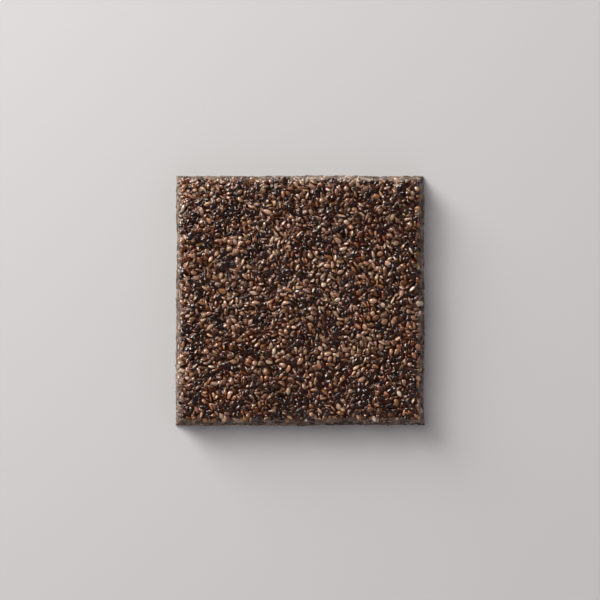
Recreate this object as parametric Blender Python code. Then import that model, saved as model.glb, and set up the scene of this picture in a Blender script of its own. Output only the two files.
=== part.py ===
"""Sesame brittle slab: one pressed, cut block of seeds set in caramel, flat underneath and pebbled above."""

import bmesh
import bpy
from mathutils import Vector, noise

# Driving dimensions, in metres.
BASE_WIDTH = 0.1200
BASE_DEPTH = 0.1210
TOP_WIDTH = 0.1116
HEIGHT = 0.0120
TOP_EDGE_ROUND = 0.0009
FOOT_ROUND = 0.0006
CORNER_RADIUS = 0.0016

# Unevenness: the cut sides wander, the rolled top swells, and the seeds stand out as pebbles.
SIDE_WANDER = 0.0005
SIDE_WANDER_LENGTH = 0.022
TOP_SWELL = 0.0003
TOP_SWELL_LENGTH = 0.045
SEED_SPACING = 0.0048
SEED_RELIEF = 0.0011

# Mesh density.
TOP_CELLS = 52
WALL_STEPS = 4

# Levels of the outline, counted down from the top face.
TOP_LEVEL = 0
FIRST_WALL_LEVEL = 1
LAST_WALL_LEVEL = FIRST_WALL_LEVEL + WALL_STEPS
BASE_LEVEL = LAST_WALL_LEVEL + 1

BRITTLE_COLOUR = (0.083, 0.047, 0.034, 1.0)
BRITTLE_ROUGHNESS = 0.32


def clear_scene():
    for obj in list(bpy.data.objects):
        bpy.data.objects.remove(obj, do_unlink=True)


def brittle_material():
    material = bpy.data.materials.new("sesame_brittle")
    material.use_nodes = True
    shader = material.node_tree.nodes["Principled BSDF"]
    shader.inputs["Base Color"].default_value = BRITTLE_COLOUR
    shader.inputs["Roughness"].default_value = BRITTLE_ROUGHNESS
    shader.inputs["Metallic"].default_value = 0.0
    return material


def wall_fraction(level):
    """How far down the sloping wall a level lies, from 0 at the top rim to 1 at the foot."""
    step = (level - FIRST_WALL_LEVEL) / WALL_STEPS
    return min(max(step, 0.0), 1.0)


def level_half_width(level):
    """Half the slab's width at a level, with the rounded rim and foot drawn in."""
    slope = (BASE_WIDTH - TOP_WIDTH) / 2 * wall_fraction(level)
    half = TOP_WIDTH / 2 + slope
    if level == TOP_LEVEL:
        return half - TOP_EDGE_ROUND
    if level == BASE_LEVEL:
        return half - FOOT_ROUND
    return half


def level_height(level):
    if level == TOP_LEVEL:
        return HEIGHT
    if level == BASE_LEVEL:
        return 0.0
    rim = HEIGHT - TOP_EDGE_ROUND
    return rim + (FOOT_ROUND - rim) * wall_fraction(level)


def rounded_corner(x, y, half):
    """The point drawn in so that a square of this half side has round corners."""
    inner = half - CORNER_RADIUS
    nearest = Vector((min(max(x, -inner), inner), min(max(y, -inner), inner)))
    outward = Vector((x, y)) - nearest
    if outward.length > CORNER_RADIUS:
        outward.length = CORNER_RADIUS
    return nearest + outward


def wander(across, along):
    """How far a cut side stands out at a place along it; opposite sides differ."""
    opposite = 1.0 if across > 0 else 0.0
    place = Vector((along / SIDE_WANDER_LENGTH, opposite, 0.5))
    return SIDE_WANDER * noise.noise(place) * across


def pebble(point):
    """Depth below the tips of the seeds, from 0 on a seed to the full relief between seeds."""
    distances, _ = noise.voronoi(point / SEED_SPACING)
    return SEED_RELIEF * min(distances[0], 1.0)


def slab_point(grid_point):
    """A vertex's place on a slab of equal sides, from its grid place (across, along, -level)."""
    level = round(-grid_point.z)
    half = level_half_width(level)
    across = grid_point.x
    along = grid_point.y
    outline = rounded_corner(across * half, along * half, half)
    x = outline.x + wander(across, along * half)
    y = outline.y + wander(along, across * half + BASE_WIDTH)
    point = Vector((x, y, level_height(level)))
    if level == BASE_LEVEL:
        return point
    if level > TOP_LEVEL:
        drawn_in = 1 - pebble(point) / half
        return Vector((x * drawn_in, y * drawn_in, point.z))
    swell = TOP_SWELL * noise.noise(point / TOP_SWELL_LENGTH)
    point.z += swell - pebble(point)
    return point


def slab_mesh():
    """A grid for the top, its rim drawn down level by level, and a flat base that closes it."""
    cage = bmesh.new()
    bmesh.ops.create_grid(cage, x_segments=TOP_CELLS, y_segments=TOP_CELLS, size=1.0)
    for _ in range(BASE_LEVEL):
        rim = [edge for edge in cage.edges if edge.is_boundary]
        drawn = bmesh.ops.extrude_edge_only(cage, edges=rim)
        rim_points = [item for item in drawn["geom"] if isinstance(item, bmesh.types.BMVert)]
        bmesh.ops.translate(cage, verts=rim_points, vec=(0, 0, -1))
    rim = [edge for edge in cage.edges if edge.is_boundary]
    base = bmesh.ops.edgeloop_fill(cage, edges=rim)
    bmesh.ops.poke(cage, faces=base["faces"])
    for vertex in cage.verts:
        vertex.co = slab_point(vertex.co)
        vertex.co.y *= BASE_DEPTH / BASE_WIDTH
    bmesh.ops.recalc_face_normals(cage, faces=cage.faces)
    mesh = bpy.data.meshes.new("brittle_slab")
    cage.to_mesh(mesh)
    cage.free()
    return mesh


def centre_on_origin(mesh):
    """Moves the mesh so that the middle of its base's bounding box is the origin."""
    across = [vertex.co.x for vertex in mesh.vertices]
    along = [vertex.co.y for vertex in mesh.vertices]
    middle = Vector(((min(across) + max(across)) / 2, (min(along) + max(along)) / 2, 0))
    for vertex in mesh.vertices:
        vertex.co -= middle


def build_slab():
    collection = bpy.data.collections.new("sesame_brittle_slab")
    bpy.context.scene.collection.children.link(collection)
    mesh = slab_mesh()
    centre_on_origin(mesh)
    mesh.materials.append(brittle_material())
    mesh.shade_smooth()
    mesh.set_sharp_from_angle(angle=0.9)
    slab = bpy.data.objects.new("brittle_slab", mesh)
    collection.objects.link(slab)
    return slab


clear_scene()
build_slab()
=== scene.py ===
import math
import time

import bpy
import numpy as np
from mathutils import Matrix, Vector, noise


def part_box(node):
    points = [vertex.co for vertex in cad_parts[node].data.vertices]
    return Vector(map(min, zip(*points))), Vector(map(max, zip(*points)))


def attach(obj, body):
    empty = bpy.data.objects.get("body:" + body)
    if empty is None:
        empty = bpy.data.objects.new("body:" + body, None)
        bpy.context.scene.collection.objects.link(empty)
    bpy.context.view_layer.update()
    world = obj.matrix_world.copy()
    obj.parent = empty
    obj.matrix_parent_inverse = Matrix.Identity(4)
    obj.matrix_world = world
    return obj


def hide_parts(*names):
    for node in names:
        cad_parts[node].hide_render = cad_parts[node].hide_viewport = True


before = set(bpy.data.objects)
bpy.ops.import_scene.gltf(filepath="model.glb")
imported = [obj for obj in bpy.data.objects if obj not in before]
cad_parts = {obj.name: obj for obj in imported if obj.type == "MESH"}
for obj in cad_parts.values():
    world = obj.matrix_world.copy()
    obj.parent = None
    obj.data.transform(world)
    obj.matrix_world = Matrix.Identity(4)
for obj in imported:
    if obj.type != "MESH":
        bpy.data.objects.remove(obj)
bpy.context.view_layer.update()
cadLow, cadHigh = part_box("brittle_slab")
startedAt = time.time()
mm = 0.001  # places and sizes are worked out in millimetres, and meshes are in metres


def report(words):
    print(f"[{time.time() - startedAt:5.1f} s] {words}")


report("frame loaded")

# The rolled and cut block, just inside the CAD solid.
slab = {
    "clear": 0.42,  # how far the feet of the walls stay inside the CAD block
    "lean": 0.392,  # how far a wall leans in for each millimetre of height
    "wander": 0.5,  # how far the cut lines stray
    "wanderLength": 22.0,
    "swell": 0.25,  # unevenness of the rolled top
    "swellLength": 45.0,
    "swellRoom": 0.6,  # the share of the swell that the top is lowered by, to leave room for it
    "rimDrop": 0.8,  # how far the top falls away at its rim
    "rimWidth": 3.0,
    "topClear": 0.15,  # how far the highest seeds stay under the CAD block's top
    "depth": 1.0083,  # the slab's depth for each unit of its width
    "lift": 0.01,  # the thin gap between the seeds and the board
}
footHalf = (cadHigh.x - cadLow.x) / mm / 2 - slab["clear"]
slabTop = cadHigh.z / mm - slab["topClear"]
topHalf = footHalf - slab["lean"] * slabTop
wallSides = ((1, 0), (-1, 0), (0, 1), (0, -1))  # outward directions of the four walls
toMetres = np.array([1.0, slab["depth"], 1.0]) * mm


def wanderAt(side, along):
    # where the cut line strays outward at places along a wall, as the CAD block's does
    opposite = 1.0 if sum(wallSides[side]) > 0 else 0.0
    shift = 0.0 if wallSides[side][1] == 0 else 2 * footHalf
    places = (np.asarray(along) + shift) / slab["wanderLength"]
    return slab["wander"] * np.array([noise.noise(Vector((place, opposite, 0.5))) for place in places])


def beyondWall(side, points):
    # how far points stand outside a cut wall; negative inside
    out = np.array(wallSides[side], float)
    along = points[:, 0] if out[1] else points[:, 1]
    wall = footHalf + wanderAt(side, along) - slab["lean"] * points[:, 2]
    return (points[:, :2] @ out - wall) / math.hypot(1, slab["lean"])


def ceilingAt(x, y):
    # the height that the roller left: a gentle swell that falls away at the rim
    swell = slab["swell"] * noise.noise(Vector((x, y, 0)) / slab["swellLength"])
    fromRim = max(topHalf - max(abs(x), abs(y)), 0.0)
    drop = max(1 - fromRim / slab["rimWidth"], 0.0) ** 2 * slab["rimDrop"]
    return slabTop - slab["swell"] * slab["swellRoom"] + swell - drop


# Seeds are dropped one by one on a height map. Each settles on the lowest of a few places, follows
# the slope there, and is pressed down where it stands proud of the roller.
pile = {
    "randomSeed": 7,
    "cell": 0.2,  # the height map's pitch
    "margin": 2.6,  # how far the map runs past the slab's foot
    "size": (3.4, 2.05, 0.95),  # length, width and thickness of a seed
    "sizeSpread": (0.17, 0.17, 0.17),  # how far seeds differ from that, as a share of it
    "sizeRange": (0.6, 1.35),  # the smallest and the largest, as shares of it
    "reach": 2.3,  # half the width of the patch that one seed may touch
    "feel": 1.25,  # radius over which a seed feels the slope
    "looks": 7,  # places looked at for each seed
    "tries": 2,  # the lowest of them, which it is tried on
    "slopeFollow": 0.8,
    "tiltSpread": 0.38,
    "edgeShare": 0.22,  # the share of seeds that stand on edge
    "edgeTilt": (0.7, 1.35),
    "sink": 0.08,  # how far a seed presses into those below
    "rolledIn": 0.35,  # how far the roller presses a proud seed
    "refusal": 0.5,  # height that a place counts as having, once a seed found no room there
    "refusalCells": 2,  # how many cells around it share that
    "overhang": 1.4,  # seeds settle this far past the walls, and are cut there
    "firstTop": 1.5,  # the first layer's thickness
    "ringWidth": 6.5,  # the solid ring of seeds along the walls
    "ringLap": 1.5,  # how far its seeds run on into the hollow
    "ringOver": 1.2,  # how far it rises into the top layers
    "topDepth": 4.0,  # the settled layers under the top
    "topLap": 2.0,  # how far they run past the rim
    "roofRough": 0.02,  # unevenness of what they lie on over the hollow
}
# Each layer has at most so many seeds, and ends when so many in a row have found no room.
drops = {
    "first": {"count": 6000, "patience": 60, "loose": 0.4},  # loose: how freely they tilt
    "ring": {"count": 9000, "patience": 120},
    "top": {"count": 12000, "patience": 400},
}
noRoom = -9.0  # a ceiling that nothing fits under
rng = np.random.default_rng(pile["randomSeed"])
mapHalf = footHalf + pile["margin"]
cellCount = int(2 * mapHalf / pile["cell"])
cellPlace = (np.arange(cellCount) + 0.5) * pile["cell"] - mapHalf
height = np.zeros((cellCount, cellCount), np.float32)
refused = np.zeros_like(height)  # a penalty where no seed found room
patchCells = int(pile["reach"] / pile["cell"]) + 1
patchSteps = np.arange(-patchCells, patchCells + 1) * pile["cell"]
patchX, patchY = np.meshgrid(patchSteps, patchSteps, indexing="ij")
felt = patchX**2 + patchY**2 < pile["feel"] ** 2
slopeX = np.where(felt, patchX, 0) / (patchX[felt] ** 2).sum()
slopeY = np.where(felt, patchY, 0) / (patchY[felt] ** 2).sum()


def cellOf(places):
    # the rows or columns of the height map that places lie in
    return np.clip(((places + mapHalf) / pile["cell"]).astype(int), 0, cellCount - 1)


def patchOf(i, j):
    return height[i - patchCells : i + patchCells + 1, j - patchCells : j + patchCells + 1]


def shellOf(turn, radii):
    # the underside and the upper side of an ellipsoid over a patch of the map: the two heights at
    # which its quadratic form is 1
    form = (turn / radii**2) @ turn.T
    slope = form[0, 2] * patchX + form[1, 2] * patchY
    flat = form[0, 0] * patchX**2 + 2 * form[0, 1] * patchX * patchY + form[1, 1] * patchY**2 - 1
    root = slope * slope - form[2, 2] * flat
    inside = root > 0
    root = np.sqrt(root[inside])
    slope = slope[inside]
    return inside, (-slope - root) / form[2, 2], (-slope + root) / form[2, 2]


def seedRadii():
    spread = rng.normal(1, pile["sizeSpread"]).clip(*pile["sizeRange"])
    return np.array(pile["size"]) / 2 * spread


def turnOf(normal, spin):
    # a seed's own axes, as columns, from the way it faces and the way it points
    length = Vector((math.cos(spin), math.sin(spin), 0))
    length = (length - normal * length.dot(normal)).normalized()
    return np.array([length, normal.cross(length), normal]).T


def dropSeeds(cells, ceiling, count, patience, loose=1.0):
    # settles up to count seeds on these cells, each under its ceiling
    settled = []
    failed = 0
    while len(settled) < count and failed < patience:
        radii = seedRadii()
        looks = cells[rng.integers(len(cells), size=pile["looks"])]
        level = height[looks[:, 0], looks[:, 1]] + refused[looks[:, 0], looks[:, 1]]
        looks = looks[np.argsort(level)[: pile["tries"]]]
        spin = rng.uniform(0, 2 * math.pi)
        onEdge = rng.random() < pile["edgeShare"] * loose
        lean = rng.normal(0, pile["tiltSpread"] * loose, 2)
        away = rng.uniform(0, 2 * math.pi)
        steep = rng.uniform(*pile["edgeTilt"])
        best = None
        for i, j in looks:
            patch = patchOf(i, j)
            if onEdge:
                flat = math.sin(steep)
                normal = Vector((flat * math.cos(away), flat * math.sin(away), math.cos(steep)))
            else:
                fall = (slopeX * patch).sum(), (slopeY * patch).sum()
                follow = pile["slopeFollow"]
                normal = Vector((lean[0] - fall[0] * follow, lean[1] - fall[1] * follow, 1)).normalized()
            turn = turnOf(normal, spin)
            inside, under, over = shellOf(turn, radii)
            rest = (patch[inside] - under).max() - pile["sink"]
            top = rest + over.max()
            if best is None or top < best[0]:
                best = (top, rest, i, j, turn, inside, over)
        top, rest, i, j, turn, inside, over = best
        limit = ceiling(i, j)
        if top > limit + pile["rolledIn"]:
            failed += 1
            near = pile["refusalCells"]
            refused[i - near : i + near + 1, j - near : j + near + 1] += pile["refusal"]
            continue
        failed = 0
        rest -= max(top - limit, 0)
        patch = patchOf(i, j)
        patch[inside] = np.maximum(patch[inside], rest + over)
        settled.append((cellPlace[i], cellPlace[j], rest, *turn.ravel(), *radii))
    refused[:] = 0
    return settled


inMap = np.arange(patchCells + 1, cellCount - patchCells - 1)
allCells = np.stack(np.meshgrid(inMap, inMap, indexing="ij"), -1).reshape(-1, 2)
fromMiddle = np.abs(cellPlace[allCells]).max(1)

# The first layer lies flat on the board.
inFoot = fromMiddle < footHalf + pile["overhang"]
seeds = dropSeeds(allCells[inFoot], lambda i, j: pile["firstTop"], **drops["first"])
report(f"first layer: {len(seeds)} seeds")

# A solid ring along the walls. The middle is left hollow, because nothing shows there.
layerStart = slabTop - pile["topDepth"]
middle = np.ix_(*[np.abs(cellPlace) < footHalf - pile["ringWidth"]] * 2)
height[middle] = layerStart + rng.normal(0, pile["roofRough"], height[middle].shape)


def ringCeiling(i, j):
    wallReach = footHalf + pile["overhang"] - slab["lean"] * height[i, j]
    within = max(abs(cellPlace[i]), abs(cellPlace[j])) < wallReach
    return layerStart + pile["ringOver"] if within else noRoom


inRing = (fromMiddle > footHalf - pile["ringWidth"] - pile["ringLap"]) & inFoot
found = dropSeeds(allCells[inRing], ringCeiling, **drops["ring"])
seeds += found
report(f"ring along the walls: {len(found)} seeds")

# The knife packs the walls: level layers of seeds that it presses into the gaps and cuts through.
wallPack = {
    "rowPitch": 0.8,  # height from one layer to the next
    "seedPitch": 2.4,  # distance along a layer
    "stray": (0.7, 0.35),  # how far a seed strays along it, and up or down
    "depth": (-0.9, 0.3),  # how far a seed's middle lies behind or before the cut
    "tilt": 0.2,
    "lowest": 0.45,  # the first layer's height
    "highest": 1.3,  # the last layer's distance under the top
}


def packWall(side):
    packed = []
    out = np.array(wallSides[side])
    for level in np.arange(wallPack["lowest"], slabTop - wallPack["highest"], wallPack["rowPitch"]):
        half = footHalf - slab["lean"] * level
        for along in np.arange(-half, half, wallPack["seedPitch"]):
            along += rng.normal(0, wallPack["stray"][0])
            z = level + rng.normal(0, wallPack["stray"][1])
            reach = footHalf - slab["lean"] * z + rng.uniform(*wallPack["depth"])
            normal = Vector((*rng.normal(0, wallPack["tilt"], 2), 1)).normalized()
            turn = turnOf(normal, rng.uniform(0, 2 * math.pi))
            x, y = out * reach + out[::-1] * along
            if wallPack["lowest"] < z < slabTop - wallPack["highest"]:
                packed.append((x, y, z, *turn.ravel(), *seedRadii()))
    return packed


wallStart = len(seeds)
for side in range(len(wallSides)):
    seeds += packWall(side)
report(f"walls packed: {len(seeds) - wallStart} seeds")
for x, y, z, *rest in seeds[wallStart:]:
    i, j = cellOf(np.array([x, y]))
    if i in inMap and j in inMap:
        patch = patchOf(i, j)
        inside, _, over = shellOf(np.reshape(rest[:9], (3, 3)), np.array(rest[9:]))
        patch[inside] = np.maximum(patch[inside], z + over)

inTop = fromMiddle < topHalf + pile["topLap"]
found = dropSeeds(allCells[inTop], lambda i, j: ceilingAt(cellPlace[i], cellPlace[j]), **drops["top"])
seeds += found
report(f"top layers: {len(found)} seeds")

seeds = np.array(seeds)
centres, turns, radii = seeds[:, :3], seeds[:, 3:12].reshape(-1, 3, 3), seeds[:, 12:]

# Sesame seed: flat, blunt at one end and pointed at the other, one unit in each direction.
seedShape = {
    "around": 8,
    "rings": 6,
    "girths": (1.02, 1.08, 0.99, 0.8, 0.5),  # ring widths against a plain ellipsoid, blunt end first
    "sameRing": 0.01,  # how close in length two points of one ring are
}


def modelSeed():
    bpy.ops.object.select_all(action="DESELECT")
    bpy.ops.mesh.primitive_uv_sphere_add(
        segments=seedShape["around"], ring_count=seedShape["rings"], radius=1
    )
    seed = bpy.context.object
    bpy.ops.object.mode_set(mode="EDIT")
    bpy.ops.transform.rotate(value=math.pi / 2, orient_axis="Y", center_override=(0, 0, 0))
    bpy.ops.object.mode_set(mode="OBJECT")
    rings = sorted({round(vertex.co.x, 3) for vertex in seed.data.vertices})[1:-1]
    for place, girth in zip(rings, seedShape["girths"]):
        bpy.ops.object.mode_set(mode="EDIT")
        bpy.ops.mesh.select_all(action="DESELECT")
        bpy.ops.object.mode_set(mode="OBJECT")
        for vertex in seed.data.vertices:
            vertex.select = abs(vertex.co.x - place) < seedShape["sameRing"]
        bpy.ops.object.mode_set(mode="EDIT")
        bpy.ops.transform.resize(value=(1, girth, girth), center_override=(place, 0, 0))
        bpy.ops.object.mode_set(mode="OBJECT")
    return seed


seed = modelSeed()
seedPoints = np.array([vertex.co for vertex in seed.data.vertices])
seedFaces = [list(face.vertices) for face in seed.data.polygons]
seedFaceUp = np.array([face.center.z > 0 for face in seed.data.polygons])
bpy.data.objects.remove(seed)
report(f"seed modelled: {len(seedPoints)} points, {len(seedFaces)} faces")

# Every seed's points in place, pressed flat on the board where they would sink into it.
points = np.einsum("nij,nkj->nki", turns, seedPoints[None] * radii[:, None]) + centres[:, None]
points[..., 2] = points[..., 2].clip(min=slab["lift"])
cutPoints = np.zeros(points.shape[:2], bool)
kept = np.ones(len(points), bool)
atWall = np.zeros(len(points), bool)

# The knife: it cuts the seeds low on the walls, and near the rim it parts them whole.
knife = {
    "ragged": 0.14,  # how far cut seeds stand before or behind each other
    "snap": (6.0, 9.5),  # from the first height up some seeds part whole, and above the second all do
    "lost": 2.5,  # seeds whose middles are this far beyond the wall are gone
    "near": 3.0,  # it touches nothing that lies farther from the wall than this
    "fallen": 0.3,  # and a whole seed is gone that stands out farther than this
    "wall": 0.5,  # seeds that reach to within this of the cut belong to the wall
    "leastLeft": 4,  # points that a seed must keep, or it falls off
    "wornDepth": 1.0,  # how far behind the cut it rubs the seeds
    "bareDepth": 1.2,  # how far behind the cut, and above the foot, it leaves them bare of caramel
}


def belowSnap(z):
    # 1 where the knife cuts through the seeds, 0 at the rim, where they part whole
    low, high = knife["snap"]
    return ((high - z) / (high - low)).clip(0, 1)


def cutAlong(side):
    # what stands beyond the wall is drawn back onto it, towards the middle of what is left
    reach = beyondWall(side, centres)
    kept[reach > knife["lost"]] = False
    close = np.nonzero((np.abs(reach) < knife["near"]) & kept)[0]
    near = points[close]
    beyond = beyondWall(side, near.reshape(-1, 3)).reshape(near.shape[:2])
    beyond += (knife["ragged"] * rng.uniform(-1, 1, len(close)))[:, None]
    whole = rng.random(len(close)) < 1 - belowSnap(centres[close, 2])
    kept[close[whole & (reach[close] > knife["fallen"])]] = False
    beyond[whole] -= knife["near"]
    atWall[close] |= beyond.max(1) > -knife["wall"]
    outside = beyond > 0
    left = (~outside).sum(1)
    kept[close[left < knife["leastLeft"]]] = False
    crossed = (left >= knife["leastLeft"]) & outside.any(1)
    near, beyond, outside = near[crossed], beyond[crossed], outside[crossed]
    left = left[crossed, None]
    anchor = (near * ~outside[..., None]).sum(1, keepdims=True) / left[..., None]
    anchorBeyond = (beyond * ~outside).sum(1, keepdims=True) / left
    share = anchorBeyond / np.where(outside, anchorBeyond - beyond, 1)
    drawnBack = anchor + (near - anchor) * share[..., None]
    points[close[crossed]] = np.where(outside[..., None], drawnBack, near)
    cutPoints[close[crossed]] |= outside


for side in range(len(wallSides)):
    cutAlong(side)
report(f"cut: {kept.sum()} seeds left, {cutPoints.any(1).sum()} of them cut")

# The set caramel that holds the seeds: its top lies between them, its walls just behind the cut.
core = {
    "smooth": 0.8,  # how smoothly the caramel lies between the seeds
    "below": 0.1,  # how far it lies under their upper sides
    "hidden": 0.2,  # seeds that stay farther under it than this aren't drawn
    "base": 0.3,  # how high its own underside lies, and seeds that reach below this are drawn
    "wallInset": 0.3,  # how far its walls lie behind the cut
    "wallRelief": 0.16,  # unevenness of the cut sugar
    "reliefSize": (2.2, 2.2, 0.7),
    "cellsAcross": 240,
    "wallSteps": 16,
    "smoothAngle": 50.0,  # edges sharper than this many degrees stay sharp
}


def blurred(field, sigma):
    across = np.fft.fftfreq(field.shape[0])[:, None]
    along = np.fft.rfftfreq(field.shape[1])[None]
    spectrum = np.fft.rfft2(field) * np.exp(-2 * (math.pi * sigma) ** 2 * (across**2 + along**2))
    return np.fft.irfft2(spectrum, field.shape)


def heightOn(field, x, y):
    return field[cellOf(x), cellOf(y)]


caramelTop = blurred(height, core["smooth"] / pile["cell"]) - core["below"]
poke = points[..., 2] - heightOn(caramelTop, points[..., 0], points[..., 1])
aboveCaramel = (poke > -core["hidden"]).any(1)
underneath = points[..., 2].min(1) < core["base"]
shown = kept & (aboveCaramel | underneath | atWall)
report(
    f"shown: {shown.sum()} seeds, {(kept & aboveCaramel).sum()} on top,"
    f" {(kept & atWall).sum()} at the walls, {(kept & underneath).sum()} underneath"
)


def hexColour(text):
    # an sRGB hex value as a linear colour
    parts = [int(text[start : start + 2], 16) / 255 for start in (1, 3, 5)]
    return [part / 12.92 if part <= 0.04045 else ((part + 0.055) / 1.055) ** 2.4 for part in parts] + [1]


def addNode(tree, kind, inputs=None, stops=None, **settings):
    # a node with its settings, and with its inputs set or linked
    node = tree.nodes.new(kind)
    for name, value in settings.items():
        setattr(node, name, value)
    for name, value in (inputs or {}).items():
        if isinstance(value, bpy.types.NodeSocket):
            tree.links.new(value, node.inputs[name])
        else:
            node.inputs[name].default_value = value
    if stops:
        ramp = node.color_ramp
        while len(ramp.elements) < len(stops):
            ramp.elements.new(0.5)
        for element, (place, colour) in zip(ramp.elements, stops):
            element.position = place
            element.color = hexColour(colour)
    return node


def newMaterial(name, **values):
    material = bpy.data.materials.new(name)
    material.use_nodes = True
    tree = material.node_tree
    shader = tree.nodes["Principled BSDF"]
    for socket, value in values.items():
        shader.inputs[socket.replace("_", " ")].default_value = value
    return material, tree, shader


# Boiled sugar over everything: where it lies thick it turns what is under it amber.
glaze = {
    "thick": "#ddad66",  # what a thick layer leaves of the light that comes back through it
    "thin": "#f1f6ff",  # the same for the thinnest
    "rosy": "#fff4f8",  # and what its own colour adds, from place to place
    "straw": "#fdfcdf",  # and in other places
    "shades": 5.5,  # millimetres from one such place to the next
    "flankAmberShade": "#eba766",  # the same on the flanks of the seeds, where it gathers; there it also stands for painted shade, which rounds each seed
    "patch": 7.5,  # millimetres from one thick place to the next
    "own": 0.02,  # how much of its thickness is each seed's own
    "onset": (0.1, 0.08),  # how far under and over the middle it goes from thin to thick
    "ownShade": 0.12,  # how much of its shade is each seed's own
    "shadeRange": (0.45, 0.67),  # from wholly rosy to wholly straw
    "dimples": 0.9,  # size of its dimples
    "dimpleDepth": 0.28,
    "poolDepth": 0.45,  # the same where it lies between the seeds
    "film": 0.3,  # how much of the last thin film lies on it
    "satin": 0.08,  # roughness of its skin
    "gloss": 0.08,  # roughness of the last thin film on it
    "cut": 0.8,  # roughness where the knife went through
    "dust": 0.5,  # how much the crumbs of the cut hide the seeds on the walls
    "shine": 0.9,  # how strongly it mirrors, with plain clear sugar at 0.5
    "wick": 0.7,  # how far it climbs the flanks of the seeds
    "wicked": 0.4,  # how bare a flank has to be, to be clear of its darkest colour
    "flankShade": 0.75,  # how much thicker it lies on their flanks than on top; this also paints shade on the flanks
    "flankLean": (0.3, 0.68),  # how far up the steepest flanks face, and how much more the flat tops do
}


def glazeOver(tree, places, colour, own, soak):
    # the colour as it shows through the sugar, whose thickness varies from place to place
    inputs = {"Vector": places, "Scale": 1 / (glaze["patch"] * mm), "Detail": 1.0}
    thickness = addNode(tree, "ShaderNodeTexNoise", inputs).outputs[0]
    inputs = {0: own, 1: glaze["own"], 2: thickness}
    thickness = addNode(tree, "ShaderNodeMath", inputs, operation="MULTIPLY_ADD").outputs[0]
    middle = 0.5 + glaze["own"] / 2  # where this varies about
    under, over = glaze["onset"]
    inputs = {"Value": thickness, "From Min": middle - under, "From Max": middle + over, "To Max": soak}
    share = addNode(tree, "ShaderNodeMapRange", inputs).outputs[0]
    inputs = {0: share, 6: hexColour(glaze["thin"]), 7: hexColour(glaze["thick"])}
    stain = addNode(tree, "ShaderNodeMix", inputs, data_type="RGBA").outputs[2]
    inputs = {"Vector": places, "Scale": 1 / (glaze["shades"] * mm), "Detail": 1.0}
    drift = addNode(tree, "ShaderNodeTexNoise", inputs).outputs[1]
    inputs = {0: own, 1: glaze["ownShade"], 2: drift}
    drift = addNode(tree, "ShaderNodeMath", inputs, operation="MULTIPLY_ADD").outputs[0]
    inputs = {"Value": drift}
    inputs["From Min"], inputs["From Max"] = glaze["shadeRange"]
    share = addNode(tree, "ShaderNodeMapRange", inputs).outputs[0]
    inputs = {0: share, 6: hexColour(glaze["rosy"]), 7: hexColour(glaze["straw"])}
    shade = addNode(tree, "ShaderNodeMix", inputs, data_type="RGBA").outputs[2]
    for tone in (stain, shade):
        inputs = {0: 1.0, 6: colour, 7: tone}
        laid = addNode(tree, "ShaderNodeMix", inputs, data_type="RGBA", blend_type="MULTIPLY")
        colour = laid.outputs[2]
    return colour


def dimple(tree, places, depth):
    # the uneven skin of the sugar, which breaks up its gloss
    inputs = {"Vector": places, "Scale": 1 / (glaze["dimples"] * mm), "Detail": 2.0}
    relief = addNode(tree, "ShaderNodeTexNoise", inputs).outputs[0]
    return addNode(tree, "ShaderNodeBump", {"Height": relief, "Distance": depth * mm}).outputs[0]


# What the knife leaves on the walls.
cutFace = {
    "lineSize": (14.0, 14.0, 2.0),  # millimetres from one line to the next, across, along and up
    "lineRange": (0.35, 0.65),  # the values of the noise that draws them, over which they change
    "lineLight": (0.55, 1.35),  # from the darkest line to the lightest
}


def layered(tree, places, size, detail):
    # a cloudy pattern drawn out along the walls, with these sizes in millimetres
    inputs = {"Vector": places, "Scale": [1 / length for length in size]}
    drawn = addNode(tree, "ShaderNodeMapping", inputs).outputs[0]
    inputs = {"Vector": drawn, "Scale": 1 / mm, "Detail": detail}
    return addNode(tree, "ShaderNodeTexNoise", inputs).outputs[0]


def cutLines(tree, places, colour):
    # the lines that the knife drags along the walls, lighter and darker
    inputs = {"Value": layered(tree, places, cutFace["lineSize"], 2.0)}
    inputs["From Min"], inputs["From Max"] = cutFace["lineRange"]
    inputs["To Min"], inputs["To Max"] = cutFace["lineLight"]
    light = addNode(tree, "ShaderNodeMapRange", inputs).outputs[0]
    inputs = {0: colour, "Scale": light}
    return addNode(tree, "ShaderNodeVectorMath", inputs, operation="SCALE").outputs[0]


def joinLook(tree, shader, places, colour, dryness, depth):
    # the colour, under a skin of sugar that is glossy except where it is dry
    inputs = {"Value": dryness, "To Min": glaze["film"], "To Max": 0.0}
    coat = addNode(tree, "ShaderNodeMapRange", inputs).outputs[0]
    inputs = {"Value": dryness, "To Min": glaze["satin"], "To Max": glaze["cut"]}
    dull = addNode(tree, "ShaderNodeMapRange", inputs).outputs[0]
    skin = dimple(tree, places, depth)
    joined = {
        "Base Color": colour,
        "Roughness": dull,
        "Coat Weight": coat,
        "Normal": skin,
        "Coat Normal": skin,
    }
    for socket, value in joined.items():
        tree.links.new(value, shader.inputs[socket])


# The husk of the seeds, whatever their kind.
husk = {
    "tints": (0.1, 0.9),  # the range of the seeds' own shades
    "speckle": 0.5,  # size of its specks, coarser than real ones are, so that they show
    "speckled": 1.2,  # how strongly they darken or lighten it
    "tip": "#2a140a",  # its dark point
    "tipFrom": 0.5,  # where that begins, with the seed's middle at 0 and its point at 1
    "tipShare": 0.55,  # how dark it gets at the very end
    "insideStops": (0.1, 0.9),  # the shades at which its inside is darkest and lightest
}


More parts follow.
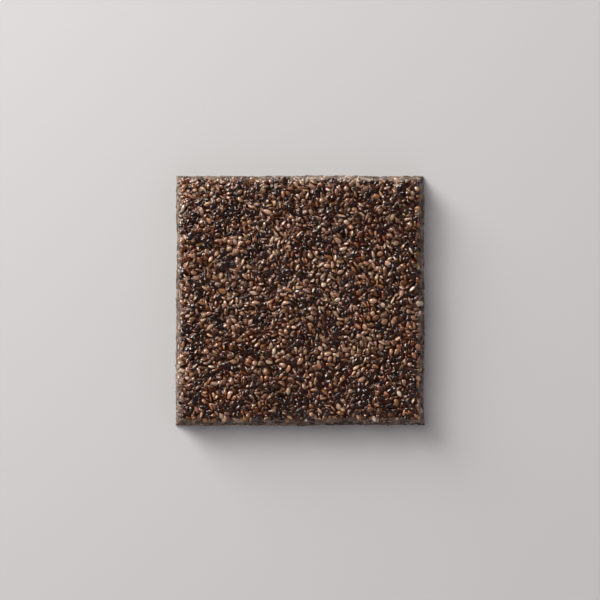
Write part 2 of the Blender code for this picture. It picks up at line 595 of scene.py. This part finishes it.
def seedHusk(name, look):
    # Sesame husk under set sugar: satin, a shade of its own on each seed, a dark point, a glossy skin.
    # Where the knife went through, the seed's pale and dull inside shows.
    material, tree, shader = newMaterial(
        name,
        Specular_IOR_Level=glaze["shine"],
        Specular_Tint=hexColour(look["sheen"]),
        Coat_Roughness=glaze["gloss"],
    )
    tint, cast, along, cut, bare, worn = [
        addNode(tree, "ShaderNodeAttribute", attribute_name=word).outputs["Fac"]
        for word in ("tint", "cast", "along", "cut", "bare", "worn")
    ]
    places = addNode(tree, "ShaderNodeTexCoord").outputs["Object"]
    inputs = {"Vector": places, "Scale": 1 / (husk["speckle"] * mm), "Detail": 2.0}
    speckle = addNode(tree, "ShaderNodeTexNoise", inputs).outputs[0]
    inputs = {0: speckle, 1: husk["speckled"], 2: -husk["speckled"] / 2}
    mottle = addNode(tree, "ShaderNodeMath", inputs, operation="MULTIPLY_ADD").outputs[0]
    shade = addNode(tree, "ShaderNodeMath", {0: tint, 1: mottle}, operation="ADD").outputs[0]
    stops = list(zip((0.0, 0.5, 1.0), look["colours"]))
    plain = addNode(tree, "ShaderNodeValToRGB", {"Fac": shade}, stops=stops).outputs[0]
    inputs = {"Value": along, "From Min": husk["tipFrom"], "From Max": 1.0, "To Max": husk["tipShare"]}
    tipShare = addNode(tree, "ShaderNodeMapRange", inputs).outputs[0]
    inputs = {0: tipShare, 6: plain, 7: hexColour(husk["tip"])}
    tipped = addNode(tree, "ShaderNodeMix", inputs, data_type="RGBA").outputs[2]
    stops = list(zip(husk["insideStops"], look["inside"]))
    inside = addNode(tree, "ShaderNodeValToRGB", {"Fac": shade}, stops=stops).outputs[0]
    inside = cutLines(tree, places, inside)
    # painted shade: the flanks are tinted amber and darkened, partly for the caramel that gathers there
    # and partly as shade that rounds each seed
    inputs = {0: 1.0, 6: tipped, 7: hexColour(glaze["flankAmberShade"])}
    amberAndShade = addNode(tree, "ShaderNodeMix", inputs, data_type="RGBA", blend_type="MULTIPLY").outputs[2]
    flankAmberShade = addNode(tree, "ShaderNodeMix", {0: bare, 6: amberAndShade, 7: tipped}, data_type="RGBA").outputs[2]
    clear = addNode(tree, "ShaderNodeMapRange", {"Value": bare, "From Max": glaze["wicked"]}).outputs[0]
    inputs = {0: clear, 6: hexColour(look["pool"]), 7: flankAmberShade}
    wicked = addNode(tree, "ShaderNodeMix", inputs, data_type="RGBA").outputs[2]
    glazed = glazeOver(tree, places, wicked, cast, look["soak"])
    inputs = {0: glaze["dust"], 6: tipped, 7: inside}
    dusty = addNode(tree, "ShaderNodeMix", inputs, data_type="RGBA").outputs[2]
    rubbed = addNode(tree, "ShaderNodeMix", {0: worn, 6: glazed, 7: dusty}, data_type="RGBA").outputs[2]
    whole = addNode(tree, "ShaderNodeMix", {0: cut, 6: rubbed, 7: inside}, data_type="RGBA").outputs[2]
    dry = addNode(tree, "ShaderNodeMath", {0: cut, 1: worn}, operation="MAXIMUM").outputs[0]
    joinLook(tree, shader, places, whole, dry, glaze["dimpleDepth"])
    return material


# The kinds of seed in the mix: each kind's shades from dark to light, its inside, how far the sugar
# stains it, the tint of its gloss, and its colour where the sugar pools at its foot.
seedKinds = {
    "creamSeeds": {
        "share": 0.10,
        "colours": ("#a69482", "#c0ae9c", "#d8c8b9"),
        "inside": ("#5c4d40", "#928175"),
        "soak": 0.5,
        "sheen": "#fff8f4",
        "pool": "#401705",
    },
    "goldenSeeds": {
        "share": 0.18,
        "colours": ("#8a705c", "#a4886e", "#bda187"),
        "inside": ("#54453a", "#8a796d"),
        "soak": 0.7,
        "sheen": "#fff8f4",
        "pool": "#401705",
    },
    "toastedSeeds": {
        "share": 0.18,
        "colours": ("#695240", "#836952", "#9d8069"),
        "inside": ("#4b3b33", "#7e6e63"),
        "soak": 0.85,
        "sheen": "#fff8f4",
        "pool": "#401705",
    },
    "brownSeeds": {
        "share": 0.18,
        "colours": ("#4a3726", "#644a36", "#7f614a"),
        "inside": ("#41332d", "#73645b"),
        "soak": 1.0,
        "sheen": "#ffeae0",
        "pool": "#381505",
    },
    "darkSeeds": {
        "share": 0.15,
        "colours": ("#2a1e18", "#3d2d25", "#524037"),
        "inside": ("#362b24", "#695a51"),
        "soak": 1.0,
        "sheen": "#ffeae0",
        "pool": "#381505",
    },
    "blackSeeds": {
        "share": 0.20,
        "colours": ("#171111", "#211b1b", "#2e2827"),
        "inside": ("#2b221e", "#5b4e47"),
        "soak": 0.5,
        "sheen": "#ffeee6",
        "pool": "#221009",
    },
}
cornerPoints = np.concatenate(seedFaces)
cornersOf = np.array([len(face) for face in seedFaces])
cornerUp = np.repeat(seedFaceUp, cornersOf)
cellUse = {"halfLength": 0.46, "halfWidth": 0.21}  # how much of its cell one side of a seed fills


def seedMap(count):
    # a map on which every seed has a cell of its own, with its two sides one above the other
    columns = math.ceil(math.sqrt(count))
    cell = np.stack(np.divmod(np.arange(count), columns)[::-1], -1)[:, None]
    u = 0.5 + cellUse["halfLength"] * seedPoints[cornerPoints, 0]
    v = 0.25 + cellUse["halfWidth"] * seedPoints[cornerPoints, 1] + 0.5 * cornerUp
    return (cell + np.stack([u, v], -1)) / columns


def beyondWalls(places):
    # how far these places stand outside the nearest cut wall; negative inside
    return np.max([beyondWall(side, places) for side in range(len(wallSides))], 0)


def wornOf(which):
    # how much the knife has rubbed each point: 1 at the walls, 0 behind them and at the rim
    near = points[which].reshape(-1, 3)
    rubbed = (beyondWalls(near) + knife["wornDepth"]).clip(0, 1)
    return (rubbed * belowSnap(near[:, 2])).reshape(points[which].shape[:2])


def bareAndShadeOf(which):
    # how bare each point of these seeds is: 0 where it goes under the caramel, 1 on top, well above it,
    # and lowered on the flanks as painted shade
    bare = np.maximum((poke[which] / glaze["wick"]).clip(0, 1), wornOf(which))
    reach = beyondWalls(points[which].reshape(-1, 3))
    bare = np.maximum(bare, (reach + knife["bareDepth"]).clip(0, 1).reshape(bare.shape))
    bare = np.maximum(bare, (knife["bareDepth"] - points[which][..., 2]).clip(0, 1))
    # painted shade: flanks that face away from straight up are darkened towards the amber and pool
    # colours, so that each seed looks rounded
    normals = np.einsum("nij,nkj->nki", turns[which], seedPoints[None] / radii[which][:, None])
    upward = normals[..., 2] / np.linalg.norm(normals, axis=2)
    steepest, more = glaze["flankLean"]
    flankShadeMask = 1 - ((upward - steepest) / more).clip(0, 1)
    return bare * (1 - glaze["flankShade"] * flankShadeMask)


def layOut(name, which, look):
    # all the seeds of one kind, as one mesh
    count, each = points[which].shape[:2]
    corners = cornerPoints + np.arange(count)[:, None] * each
    sizes = np.tile(cornersOf, count)
    cut = np.stack([cutPoints[which][:, face].all(1) for face in seedFaces], 1)
    mesh = bpy.data.meshes.new(name)
    mesh.vertices.add(count * each)
    mesh.vertices.foreach_set("co", (points[which] * toMetres).astype(np.float32).ravel())
    mesh.loops.add(corners.size)
    mesh.loops.foreach_set("vertex_index", corners.ravel().astype(np.int32))
    mesh.polygons.add(len(sizes))
    mesh.polygons.foreach_set("loop_start", (np.cumsum(sizes) - sizes).astype(np.int32))
    attributes = {
        "tint": ("POINT", np.repeat(rng.uniform(*husk["tints"], count), each)),
        "cast": ("POINT", np.repeat(rng.random(count), each)),
        "along": ("POINT", np.tile(seedPoints[:, 0], count)),
        # bare also carries the painted shade on the seeds' flanks
        "bare": ("POINT", bareAndShadeOf(which).ravel()),
        "worn": ("POINT", wornOf(which).ravel()),
        "cut": ("FACE", cut.ravel()),
    }
    for word, (domain, values) in attributes.items():
        layer = mesh.attributes.new(word, "FLOAT", domain)
        layer.data.foreach_set("value", values.astype(np.float32))
    bakeMap = mesh.uv_layers.new(name="OFBake")
    bakeMap.uv.foreach_set("vector", seedMap(count).astype(np.float32).ravel())
    mesh.update(calc_edges=True)
    mesh.polygons.foreach_set("use_smooth", ~cut.ravel())
    mesh.validate()
    mesh.materials.append(seedHusk(name[:-1] + "Husk", look))
    piece = bpy.data.objects.new(name, mesh)
    bpy.context.scene.collection.objects.link(piece)
    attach(piece, "root")
    report(f"{name}: {count} seeds, {len(sizes)} faces")


# Light and dark seeds aren't mixed quite evenly, and the dark ones are smaller.
clumps = {
    "size": 6.5,
    "strength": 0.72,
    "smallDark": 0.25,  # how far a seed's size decides how dark it is
}
chosen = np.nonzero(shown)[0]
drift = np.array([noise.noise(Vector(place)) for place in centres[chosen] / clumps["size"]])
bulk = radii[chosen].mean(1)
draw = rng.random(len(chosen)) + clumps["strength"] * drift
draw -= clumps["smallDark"] * (bulk - bulk.mean()) / bulk.std()
draw = draw.argsort().argsort() / len(chosen)
shares = np.cumsum([look["share"] for look in seedKinds.values()])
kindOf = np.searchsorted(shares / shares[-1], draw)
for number, (name, look) in enumerate(seedKinds.items()):
    layOut(name, chosen[kindOf == number], look)


def modelCore():
    bpy.ops.object.select_all(action="DESELECT")
    across = core["cellsAcross"]
    bpy.ops.mesh.primitive_grid_add(x_subdivisions=across, y_subdivisions=across, size=2)
    block = bpy.context.object
    block.name = "caramelCore"
    bpy.ops.object.mode_set(mode="EDIT")
    bpy.ops.mesh.select_all(action="SELECT")
    bpy.ops.mesh.region_to_loop()
    for _ in range(core["wallSteps"]):
        bpy.ops.mesh.extrude_region_move(TRANSFORM_OT_translate={"value": (0, 0, -1)})
    bpy.ops.mesh.edge_face_add()
    bpy.ops.object.mode_set(mode="OBJECT")
    return block


def shapeCore(block):
    # the plain block takes the caramel's height from the seeds, and its walls from the cut
    mesh = block.data
    plain = np.zeros(len(mesh.vertices) * 3)
    mesh.vertices.foreach_get("co", plain)
    plain = plain.reshape(-1, 3)
    fall = -plain[:, 2] / core["wallSteps"]
    side, along = plain[:, 0], plain[:, 1]
    inner = topHalf - core["wallInset"]
    z = heightOn(caramelTop, side * inner, along * inner) * (1 - fall) + core["base"] * fall
    half = footHalf - slab["lean"] * z - core["wallInset"]
    place = np.stack([side * half, along * half, z], 1)
    bumps = [noise.noise(Vector(spot)) for spot in place / core["reliefSize"]]
    bump = np.array(bumps) * core["wallRelief"] * (fall > 0)
    for number, out in enumerate(wallSides):
        share = np.clip(side * out[0] + along * out[1], 0, 1)
        stray = wanderAt(number, place[:, 0] if out[1] else place[:, 1])
        onWall = share > 0.999  # all of it, but for rounding
        place[:, :2] += np.outer(share * stray + onWall * bump, out)
    mesh.vertices.foreach_set("co", (place * toMetres).ravel())
    wall = mesh.attributes.new("wall", "FLOAT", "POINT")
    wall.data.foreach_set("value", ((fall > 0) * belowSnap(z)).astype(np.float32))
    bpy.ops.object.mode_set(mode="EDIT")
    bpy.ops.mesh.select_all(action="SELECT")
    bpy.ops.mesh.normals_make_consistent(inside=False)
    bpy.ops.object.mode_set(mode="OBJECT")
    bpy.ops.object.shade_smooth_by_angle(angle=math.radians(core["smoothAngle"]))


# The caramel's own colours, each with its place on the noise that spreads them.
caramel = {
    "sheen": "#ffd0b0",
    "cloudSize": 2.5,
    "deep": [(0.35, "#2a0f04"), (0.55, "#3e1705"), (0.7, "#52250e")],
    "layerSize": (2.4, 2.4, 0.45),
    "scraped": [(0.35, "#20140f"), (0.5, "#473329"), (0.65, "#735c50")],
}


def setCaramel(name):
    # Boiled sugar set dark: glassy and nearly black between the seeds, dull and streaked where cut.
    material, tree, shader = newMaterial(
        name,
        Specular_IOR_Level=glaze["shine"],
        Specular_Tint=hexColour(caramel["sheen"]),
        Coat_Roughness=glaze["gloss"],
    )
    wall = addNode(tree, "ShaderNodeAttribute", attribute_name="wall").outputs["Fac"]
    places = addNode(tree, "ShaderNodeTexCoord").outputs["Object"]
    inputs = {"Vector": places, "Scale": 1 / (caramel["cloudSize"] * mm), "Detail": 3.0}
    cloud = addNode(tree, "ShaderNodeTexNoise", inputs).outputs[0]
    deep = addNode(tree, "ShaderNodeValToRGB", {"Fac": cloud}, stops=caramel["deep"]).outputs[0]
    streak = layered(tree, places, caramel["layerSize"], 3.0)
    scraped = addNode(tree, "ShaderNodeValToRGB", {"Fac": streak}, stops=caramel["scraped"]).outputs[0]
    pool = glazeOver(tree, places, deep, own=0.5, soak=1.0)
    inputs = {0: wall, 6: pool, 7: cutLines(tree, places, scraped)}
    both = addNode(tree, "ShaderNodeMix", inputs, data_type="RGBA").outputs[2]
    joinLook(tree, shader, places, both, wall, glaze["poolDepth"])
    return material


block = modelCore()
shapeCore(block)
block.data.materials.append(setCaramel("setCaramel"))
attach(block, "root")
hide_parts("brittle_slab")
report(f"caramel core modelled: {len(block.data.polygons)} faces")

# A pale table, a large low window, a weaker one higher up that isn't mirrored, a narrow strip that is
# only mirrored, the light of the room, and a camera above.
studio = {
    "floorColour": "#cfcdca",
    "floorSize": 4000.0,
    "floorRoughness": 0.6,
    "lens": 85.0,
    "sensor": 36.0,
    "distance": 679.0,
    "aim": 0.17,  # millimetres that it looks behind the slab's middle
    "tilt": 1.8,  # degrees that the camera stands off the vertical, towards the front
    "lightDistance": 2200.0,
    "lightAzimuth": 135.0,
    "lights": {
        "lowWindow": {"elevation": 20.0, "size": (1180.0, 1180.0), "watts": 72.0},
        "highWindow": {"elevation": 50.0, "size": (1180.0, 1180.0), "watts": 17.5, "glossy": False},
        "highGlint": {"elevation": 52.0, "size": (1700.0, 130.0), "watts": 14.0, "diffuse": False},
    },
    "room": "#fcf6ff",  # colour of the room's light
    "roomLight": (0.675, 0.05),  # its strength at the horizon and straight above
    "farSide": 0.68,  # how much more of it comes from the side opposite the windows
    "mirrorLoss": 0.45,  # how much of it is missing where it is mirrored
}

bpy.ops.object.select_all(action="DESELECT")
bpy.ops.mesh.primitive_plane_add(size=studio["floorSize"] * mm)
floor = bpy.context.object
floor.name = "floor"
floorMaterial = newMaterial(  # a smooth, dull table top, which takes a soft shadow
    "paleTable",
    Roughness=studio["floorRoughness"],
    Base_Color=hexColour(studio["floorColour"]),
)[0]
floor.data.materials.append(floorMaterial)


def lightFrom(name, elevation, size, watts, glossy=True, diffuse=True):
    light = bpy.data.objects.new(name, bpy.data.lights.new(name, "AREA"))
    bpy.context.scene.collection.objects.link(light)
    light.visible_glossy = glossy
    light.visible_diffuse = diffuse
    light.data.shape = "RECTANGLE"
    light.data.size = size[0] * mm
    light.data.size_y = size[1] * mm
    light.data.energy = watts
    around = math.radians(studio["lightAzimuth"])
    up = math.radians(elevation)
    way = Vector((math.cos(around) * math.cos(up), math.sin(around) * math.cos(up), math.sin(up)))
    light.location = way * studio["lightDistance"] * mm
    light.rotation_euler = (-way).to_track_quat("-Z", "Y").to_euler()


for name, values in studio["lights"].items():
    lightFrom(name, **values)

world = bpy.data.worlds.new("room")
bpy.context.scene.world = world
world.use_nodes = True
sky = world.node_tree
way = addNode(sky, "ShaderNodeTexCoord").outputs["Generated"]
upward = addNode(sky, "ShaderNodeSeparateXYZ", {0: way}).outputs["Z"]
horizon, above = studio["roomLight"]
inputs = {"Value": upward, "To Min": horizon, "To Max": above}
strength = addNode(sky, "ShaderNodeMapRange", inputs).outputs[0]
azimuth = math.radians(studio["lightAzimuth"])
opposite = (-math.cos(azimuth), -math.sin(azimuth), 0)
facing = addNode(sky, "ShaderNodeVectorMath", {0: way, 1: opposite}, operation="DOT_PRODUCT")
inputs = {0: facing.outputs["Value"], 1: studio["farSide"], 2: 1.0}
share = addNode(sky, "ShaderNodeMath", inputs, operation="MULTIPLY_ADD").outputs[0]
mirrored = addNode(sky, "ShaderNodeLightPath").outputs["Is Glossy Ray"]
inputs = {0: mirrored, 1: -studio["mirrorLoss"], 2: 1.0}
dimmer = addNode(sky, "ShaderNodeMath", inputs, operation="MULTIPLY_ADD").outputs[0]
for factor in (share, dimmer):
    strength = addNode(sky, "ShaderNodeMath", {0: strength, 1: factor}, operation="MULTIPLY").outputs[0]
sky.nodes["Background"].inputs["Color"].default_value = hexColour(studio["room"])
sky.links.new(strength, sky.nodes["Background"].inputs["Strength"])

camera = bpy.data.objects.new("camera", bpy.data.cameras.new("camera"))
bpy.context.scene.collection.objects.link(camera)
camera.data.lens = studio["lens"]
camera.data.sensor_width = studio["sensor"]
tilt = math.radians(studio["tilt"])
back = Vector((0, -math.sin(tilt), math.cos(tilt))) * studio["distance"]
camera.location = (back + Vector((0, studio["aim"], 0))) * mm
camera.rotation_euler = (tilt, 0, 0)
bpy.context.scene.camera = camera
bpy.context.scene.view_settings.view_transform = "Standard"
report("studio set")
